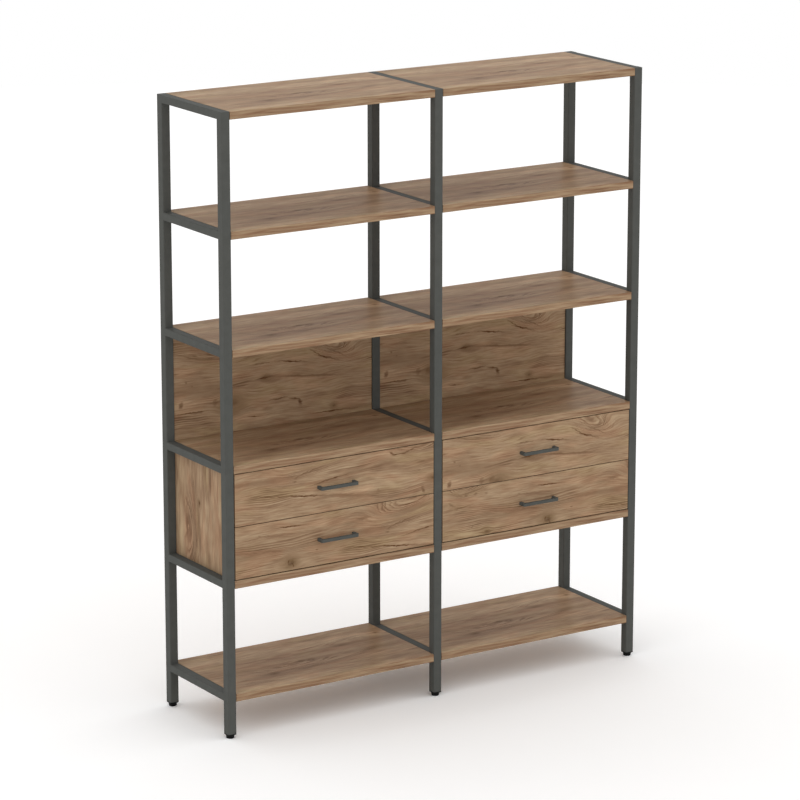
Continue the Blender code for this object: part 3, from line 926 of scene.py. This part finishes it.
# Moulded plastics with a fine spark-eroded texture
black_plastic = textured_material(
    "black_plastic", (12, 12, 12), (18, 18, 18), roughness=0.5, spread=0.14, texture=2600.0,
    relief=0.00006, mottle=(120.0, 2.0), specular=0.1,
)
nylon = textured_material(
    "nylon", (206, 206, 200), (220, 220, 214), roughness=0.42, spread=0.14, texture=2600.0,
    relief=0.00006, mottle=(120.0, 2.0),
)
zinc = zinc_material()
decor_materials = {}


def decor(cut, size):
    """The decor's material for boards cut at this place, made once."""
    if cut not in decor_materials:
        name = f"oak_decor_{len(decor_materials) + 1}"
        decor_materials[cut] = oak_material(name, cut, (cut[0] + size.x, cut[1] + size.y))
    return decor_materials[cut]


def board_frame(node, lay, cut):
    """A board's size along its own axes, and the matrix from its cut in the decor to its place."""
    low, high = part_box(node)
    middle = (low + high) / 2
    size = lay.transposed() @ (high - low)
    size = Vector([abs(value) for value in size])
    own_middle = Vector(cut).to_3d() + size / 2
    matrix = Matrix.Translation(middle - lay @ own_middle) @ lay.to_4x4()
    return size, matrix


def band_outline(low, high):
    """Section of a board whose long edges are banded: rounded corners and a fine joint at each band."""
    outline = []
    for quarter, centre in enumerate(corner_centres(low, high, EDGE_RADIUS)):
        turned = arc(centre, EDGE_RADIUS, quarter, quarter + 1, EDGE_STEPS)
        face, run = (high[1], 1) if quarter < 2 else (low[1], -1)
        edge = high[0] - BAND_THICKNESS if quarter in (0, 3) else low[0] + BAND_THICKNESS
        joint = [
            (edge + run * BAND_GROOVE, face),
            (edge, face - run * BAND_GROOVE),
            (edge - run * BAND_GROOVE, face),
        ]
        outline += turned + joint if quarter in (0, 2) else joint + turned
    return outline


def make_board(name, lay, cut, body, extra=0.0, rounded=False):
    """A board with banded or rounded edges. Each end adds the extra to the model's length."""
    size, matrix = board_frame(name, lay, cut)
    bm = bmesh.new()
    if rounded:
        low = Vector(cut).to_3d()
        add_box(bm, low, low + size, EDGE_RADIUS)
    else:
        outline = band_outline((cut[1], 0), (cut[1] + size.y, size.z))
        add_prism(bm, outline, "X", cut[0] - extra, cut[0] + size.x + extra)
    return make_piece(f"{name}_board", bm, decor(cut, size), body, (name,), matrix)


def tab_rows():
    """Where the front row and the back row of tabs lie."""
    low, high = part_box("frame_left")
    return low.y + TAB_INSET, high.y - TAB_INSET


def shelf_board(name):
    """A shelf with a pocket for each support tab."""
    shelf = make_board(name, FLAT, SHELF_CUT, CARCASS)
    low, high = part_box(name)
    reach = TAB_REACH + POCKET_CLEARANCE
    half = TAB_WIDTH / 2 + POCKET_CLEARANCE
    ceiling = low.z + TAB_RISE + TAB_THICKNESS + SEAT_GAP
    bm = bmesh.new()
    for end in (low.x, high.x):
        for row in tab_rows():
            add_box(bm, (end - reach, row - half, low.z - reach), (end + reach, row + half, ceiling))
    combine(shelf, new_object("pockets", bm), "DIFFERENCE")


def build_boards():
    for bay in BAYS:
        for level in LEVELS:
            shelf_board(f"{bay}_shelf_{level}")
        make_board(f"{bay}_back_panel", UPRIGHT, BACK_CUT, CARCASS, BACK_END_EXTRA)
        for side in SIDES:
            make_board(f"{bay}_bay_{side}_side", SIDEWAYS, SIDE_CUT, CARCASS)


def post_footprint(frame_name, row):
    """Lowest and highest corner of a post's section, which its foot's flange shares."""
    low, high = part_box(f"foot_{frame_name}_{row}")
    return low.to_2d(), high.to_2d()


def build_frame(frame_name):
    """Posts, rails and tabs as one welded piece."""
    node = f"frame_{frame_name}"
    bottom, top = (corner.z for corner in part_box(node))
    bm = bmesh.new()
    ends = []
    for row in ROWS:
        low, high = post_footprint(frame_name, row)
        ends += add_prism(bm, tube_section(low, high), "Z", bottom, top)
    bevel(bm, ends, TUBE_END_BEVEL, SMALL_BEVEL_STEPS, True)
    steel = new_object(f"{node}_steel", bm)

    front_low, front_high = post_footprint(frame_name, "front")
    back_low, _ = post_footprint(frame_name, "back")
    bm = bmesh.new()
    for level in LEVELS:
        shelf_low, shelf_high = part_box(f"left_shelf_{level}")
        outline = tube_section((front_low.x, shelf_low.z), (front_high.x, shelf_high.z))
        add_prism(bm, outline, "Y", front_high.y - RAIL_BITE, back_low.y + RAIL_BITE)
    combine(steel, new_object("rails", bm), "UNION")
    combine(steel, frame_tabs(frame_name, front_low.x, front_high.x), "UNION")
    dress(steel, graphite, CARCASS, (node,))


def frame_tabs(frame_name, left_face, right_face):
    """Tabs with rounded corners, on the sides of a frame that carry boards."""
    faces = []
    if frame_name != "left":
        faces.append((left_face, -1))
    if frame_name != "right":
        faces.append((right_face, 1))
    bm = bmesh.new()
    for face, way in faces:
        near, far = sorted((face - way * TUBE_CORNER, face + way * TAB_REACH))
        for level in LEVELS:
            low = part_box(f"left_shelf_{level}")[0].z + TAB_RISE
            for row in tab_rows():
                corners = ((near, row - TAB_WIDTH / 2), (far, row + TAB_WIDTH / 2))
                outline = rounded_rectangle(*corners, TAB_CORNER, PLATE_CORNER_STEPS)
                add_prism(bm, outline, "Z", low, low + TAB_THICKNESS)
    return new_object("tabs", bm)


def build_foot(frame_name, row):
    """A foot with a turned base under a square flange. Its plug stays hidden in the post."""
    node = f"foot_{frame_name}_{row}"
    low, high = post_footprint(frame_name, row)
    centre = (low + high) / 2
    flange_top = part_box(f"frame_{frame_name}")[0].z - SEAT_GAP
    flange_low = flange_top - FOOT_FLANGE
    flange_middle = flange_low + FOOT_FLANGE / 2
    bm = bmesh.new()
    ends = add_prism(bm, tube_section(low, high), "Z", flange_low, flange_top)
    bevel(bm, ends, FOOT_FLANGE_BEVEL, SMALL_BEVEL_STEPS, True)
    rounding = FOOT_ROUNDING
    profile = [(0, 0)]
    profile += arc((FOOT_RADIUS_LOW - rounding, rounding), rounding, -1, 0, FOOT_ROUNDING_STEPS)
    profile += [
        (FOOT_RADIUS_HIGH, flange_low - FOOT_SHOULDER),
        (FOOT_RADIUS_HIGH, flange_middle),
        (0, flange_middle),
    ]
    add_lathe(bm, profile, (centre.x, centre.y, 0), "Z", FOOT_FACETS)
    make_piece(f"{node}_plastic", bm, black_plastic, CARCASS, (node,))


def add_screw(bm, head, axis, way):
    """A pan head with a socket. head is the middle of its underside, and way is +1 or -1 along the axis."""
    height = SCREW_HEIGHT
    socket_floor = height - SCREW_SOCKET_DEPTH
    profile = [(0, 0), (SCREW_RADIUS, 0)]
    for angle in SCREW_CROWN_ANGLES:
        risen = 1 - SCREW_CROWN + SCREW_CROWN * math.sin(angle)
        profile.append((SCREW_RADIUS * math.cos(angle), height * risen))
    profile += [(SCREW_SOCKET, height), (SCREW_SOCKET_FLOOR, socket_floor), (0, socket_floor)]
    add_lathe(bm, [(r, way * z) for r, z in profile], head, axis, SCREW_FACETS)


def build_screws():
    """Screws under the tabs, which hold the shelves."""
    for bay in BAYS:
        bm = bmesh.new()
        for level in LEVELS:
            low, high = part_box(f"{bay}_shelf_{level}")
            for x in (low.x + TAB_SCREW_INSET, high.x - TAB_SCREW_INSET):
                for y in tab_rows():
                    add_screw(bm, (x, y, low.z + TAB_RISE), "Z", -1)
        make_piece(f"{bay}_shelf_screws", bm, zinc, CARCASS)


def build_handle(label):
    """A bow handle: legs and bar in one bent form with soft edges."""
    node = f"{label}_handle"
    low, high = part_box(node)
    inner_low = low.x + HANDLE_LEG
    inner_high = high.x - HANDLE_LEG
    bar_back = low.y + HANDLE_BAR
    outer = HANDLE_OUTER_BEND
    bend = HANDLE_INNER_BEND
    outline = [(low.x, high.y)]
    outline += arc((low.x + outer, low.y + outer), outer, 2, 3, HANDLE_OUTER_STEPS)
    outline += arc((high.x - outer, low.y + outer), outer, 3, 4, HANDLE_OUTER_STEPS)
    outline += [(high.x, high.y), (inner_high, high.y)]
    outline += arc((inner_high - bend, bar_back + bend), bend, 0, -1, HANDLE_INNER_STEPS)
    outline += arc((inner_low + bend, bar_back + bend), bend, -1, -2, HANDLE_INNER_STEPS)
    outline += [(inner_low, high.y)]
    bm = bmesh.new()
    ends = add_prism(bm, outline, "Z", low.z, high.z)
    bevel(bm, ends, HANDLE_BEVEL, HANDLE_BEVEL_STEPS, True)
    make_piece(f"{node}_bow", bm, graphite, label, (node,))


def handle_screws(label):
    """Screws that hold the handle, seen on the inner face of the drawer's front."""
    inner_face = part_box(f"{label}_front")[1].y
    low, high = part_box(f"{label}_handle")
    middle = (low + high) / 2
    bm = bmesh.new()
    for way in (-1, 1):
        add_screw(bm, (middle.x + way * HANDLE_SCREW_SPACING / 2, inner_face, middle.z), "Y", 1)
    make_piece(f"{label}_handle_screws", bm, zinc, label)


def add_roller(bm, centre, radius, way):
    """A roller with rounded rims and a recessed hub. centre is the middle of its outer face."""
    hub, recess_start, recess_end, rim = (radius * share for share in ROLLER_SHARES)
    rounding = ROLLER_ROUNDING
    recess = ROLLER_RECESS
    outer = [(PIN_RADIUS, 0), (hub, 0), (recess_start, recess), (recess_end, recess), (rim, 0)]
    outer += arc((radius - rounding, rounding), rounding, -1, 0, ROLLER_ROUNDING_STEPS)
    profile = outer + [(r, ROLLER_WIDTH - z) for r, z in reversed(outer)]
    add_lathe(bm, [(r, way * z) for r, z in profile], centre, "X", ROLLER_FACETS)


def add_pin(bm, head, way, length):
    """A rivet pin. head is where its head meets the roller, and the pin goes on for its length."""
    top = PIN_RADIUS * PIN_HEAD_SHARE
    profile = [(0, -PIN_HEAD), (top, -PIN_HEAD), (PIN_RADIUS, 0), (PIN_RADIUS, length), (0, length)]
    add_lathe(bm, [(r, way * z) for r, z in profile], head, "X", PIN_FACETS)


def channel_heights(label):
    """Lowest and highest level of the channels that carry a drawer."""
    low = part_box(f"{label}_front")[0].z + DRAWER_RISE + CHANNEL_RISE
    return low, low + CHANNEL_HEIGHT


def add_folded(bm, line, face, way, start, end):
    """A folded sheet between two depths. Its line has distances from the side's face, and heights."""
    placed = [(face + way * distance, height) for distance, height in line]
    add_prism(bm, sheet_outline(placed, SHEET, SHEET_BEND), "Y", start, end)


def drawer_side(label, side, face, way):
    """Folded side with its track, bracket and rear roller."""
    node = f"{label}_{side}_side"
    (_, start, low), (_, end, top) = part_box(node)
    channel_low, channel_high = channel_heights(label)
    track_low = channel_high + TRACK_CLEARANCE
    bracket_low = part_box(f"{label}_bottom")[1].z + BRACKET_CLEARANCE
    half = SHEET / 2
    web = RUNNER_SPACE + half
    inner = RUNNER_SPACE + SHEET
    line = [
        (inner + BOTTOM_LEDGE, low + half),
        (web, low + half),
        (web, top - half),
        (web - TOP_FOLD, top - half),
        (web - TOP_FOLD, top - TOP_LIP),
    ]
    bm = bmesh.new()
    add_folded(bm, line, face, way, start, end)
    near, far = sorted((face + way * ROLLER_FROM, face + way * web))
    corners = ((near, start, track_low), (far, end, track_low + SHEET))
    add_box(bm, *corners, TRACK_EDGE, SMALL_BEVEL_STEPS)
    near, far = sorted((face + way * web, face + way * (inner + BRACKET_REACH)))
    corners = ((near, bracket_low), (far, bracket_low + BRACKET_HEIGHT))
    outline = rounded_rectangle(*corners, BRACKET_CORNER, PLATE_CORNER_STEPS)
    add_prism(bm, outline, "Y", start, start + SHEET)
    make_piece(f"{node}_steel", bm, runner_coat, label, (node,))

    centre = (face + way * ROLLER_FROM, end - ROLLER_INSET, (channel_low + channel_high) / 2)
    bm = bmesh.new()
    add_roller(bm, centre, CHANNEL_HEIGHT / 2 - SHEET - SEAT_GAP, way)
    make_piece(f"{node}_roller", bm, nylon, label)
    bm = bmesh.new()
    add_pin(bm, centre, way, RUNNER_SPACE - ROLLER_FROM)
    for height in BRACKET_SCREW_HEIGHTS:
        head = (face + way * (inner + BRACKET_SCREW_REACH), start + SHEET, bracket_low + height)
        add_screw(bm, head, "Y", 1)
    make_piece(f"{node}_fixings", bm, zinc, label)


def runner(label, side, face, way):
    """The channel on the compartment's side, open at its front end, with its front roller and pin."""
    node = f"{label}_{side}_runner"
    (_, start, _), (_, end, _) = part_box(node)
    low, high = channel_heights(label)
    half = SHEET / 2
    web = SEAT_GAP + half
    reach = RUNNER_SPACE - RUNNING_GAP
    mouth = start + CHANNEL_MOUTH
    full = [(reach, low + half), (web, low + half), (web, high - half), (reach, high - half)]
    bm = bmesh.new()
    add_folded(bm, full, face, way, mouth, end)
    add_folded(bm, full[:2] + [(web, high)], face, way, start, mouth)
    make_piece(f"{node}_steel", bm, runner_coat, CARCASS, (node,))

    height = high + TRACK_CLEARANCE - SEAT_GAP - ROLLER_RADIUS
    centre = (face + way * ROLLER_FROM, start + ROLLER_INSET, height)
    bm = bmesh.new()
    add_roller(bm, centre, ROLLER_RADIUS, way)
    make_piece(f"{node}_roller", bm, nylon, CARCASS)
    head = (centre[0] + way * ROLLER_WIDTH, centre[1], centre[2])
    bm = bmesh.new()
    add_pin(bm, head, -way, ROLLER_WIDTH + PIN_BITE)
    make_piece(f"{node}_pin", bm, zinc, CARCASS)


def build_drawer(bay, drawer):
    """A drawer's front, handle, bottom, back and sides, and the runners that carry it."""
    label = f"{bay}_{drawer}_drawer"
    make_board(f"{label}_front", UPRIGHT, FRONT_CUTS[f"{bay}_{drawer}"], label, rounded=True)
    build_handle(label)
    for part in ("bottom", "back"):
        node = f"{label}_{part}"
        bm = bmesh.new()
        add_box(bm, *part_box(node), CORE_EDGE, SMALL_BEVEL_STEPS)
        make_piece(f"{node}_board", bm, melamine, label, (node,))
    for side in SIDES:
        low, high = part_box(f"{bay}_bay_{side}_side")
        face, way = (high.x, 1) if side == "left" else (low.x, -1)
        drawer_side(label, side, face, way)
        runner(label, side, face, way)
    handle_screws(label)


def build_floor():
    bm = bmesh.new()
    bmesh.ops.create_circle(bm, cap_ends=True, segments=FLOOR_FACETS, radius=FLOOR_RADIUS)
    floor = new_object("floor", bm)
    material = bpy.data.materials.new("floor")
    material.use_nodes = True
    nodes = Nodes(material.node_tree)
    path = nodes.add("LightPath").outputs
    seen = nodes.math("MAXIMUM", path["Is Camera Ray"], path["Is Glossy Ray"])
    seen = nodes.math("MAXIMUM", seen, path["Is Transmission Ray"])
    colour = nodes.blend(seen, FLOOR_COLOUR, FLOOR_SEEN)
    shader = nodes.add("BsdfDiffuse", {"Color": colour})
    nodes.tree.links.new(shader.outputs[0], nodes.tree.nodes["Material Output"].inputs["Surface"])
    floor.data.materials.append(material)


def build_world():
    """An even white dome, which is the soft studio light and the backdrop."""
    world = bpy.data.worlds.new("studio")
    bpy.context.scene.world = world
    world.use_nodes = True
    background = world.node_tree.nodes["Background"]
    background.inputs["Color"].default_value = (1, 1, 1, 1)
    background.inputs["Strength"].default_value = 1.0


def build_camera():
    camera = bpy.data.objects.new("camera", bpy.data.cameras.new("camera"))
    bpy.context.scene.collection.objects.link(camera)
    camera.data.lens = CAMERA_LENS
    camera.data.clip_end = CAMERA_REACH
    camera.location = CAMERA_PLACE
    camera.rotation_euler = (math.pi / 2 - CAMERA_PITCH, 0, -CAMERA_YAW)
    bpy.context.scene.camera = camera


build_boards()
for frame_name in FRAMES:
    build_frame(frame_name)
    for row in ROWS:
        build_foot(frame_name, row)
build_screws()
for bay in BAYS:
    for drawer in DRAWERS:
        build_drawer(bay, drawer)
build_floor()
build_world()
build_camera()
bpy.context.scene.view_settings.view_transform = "Standard"
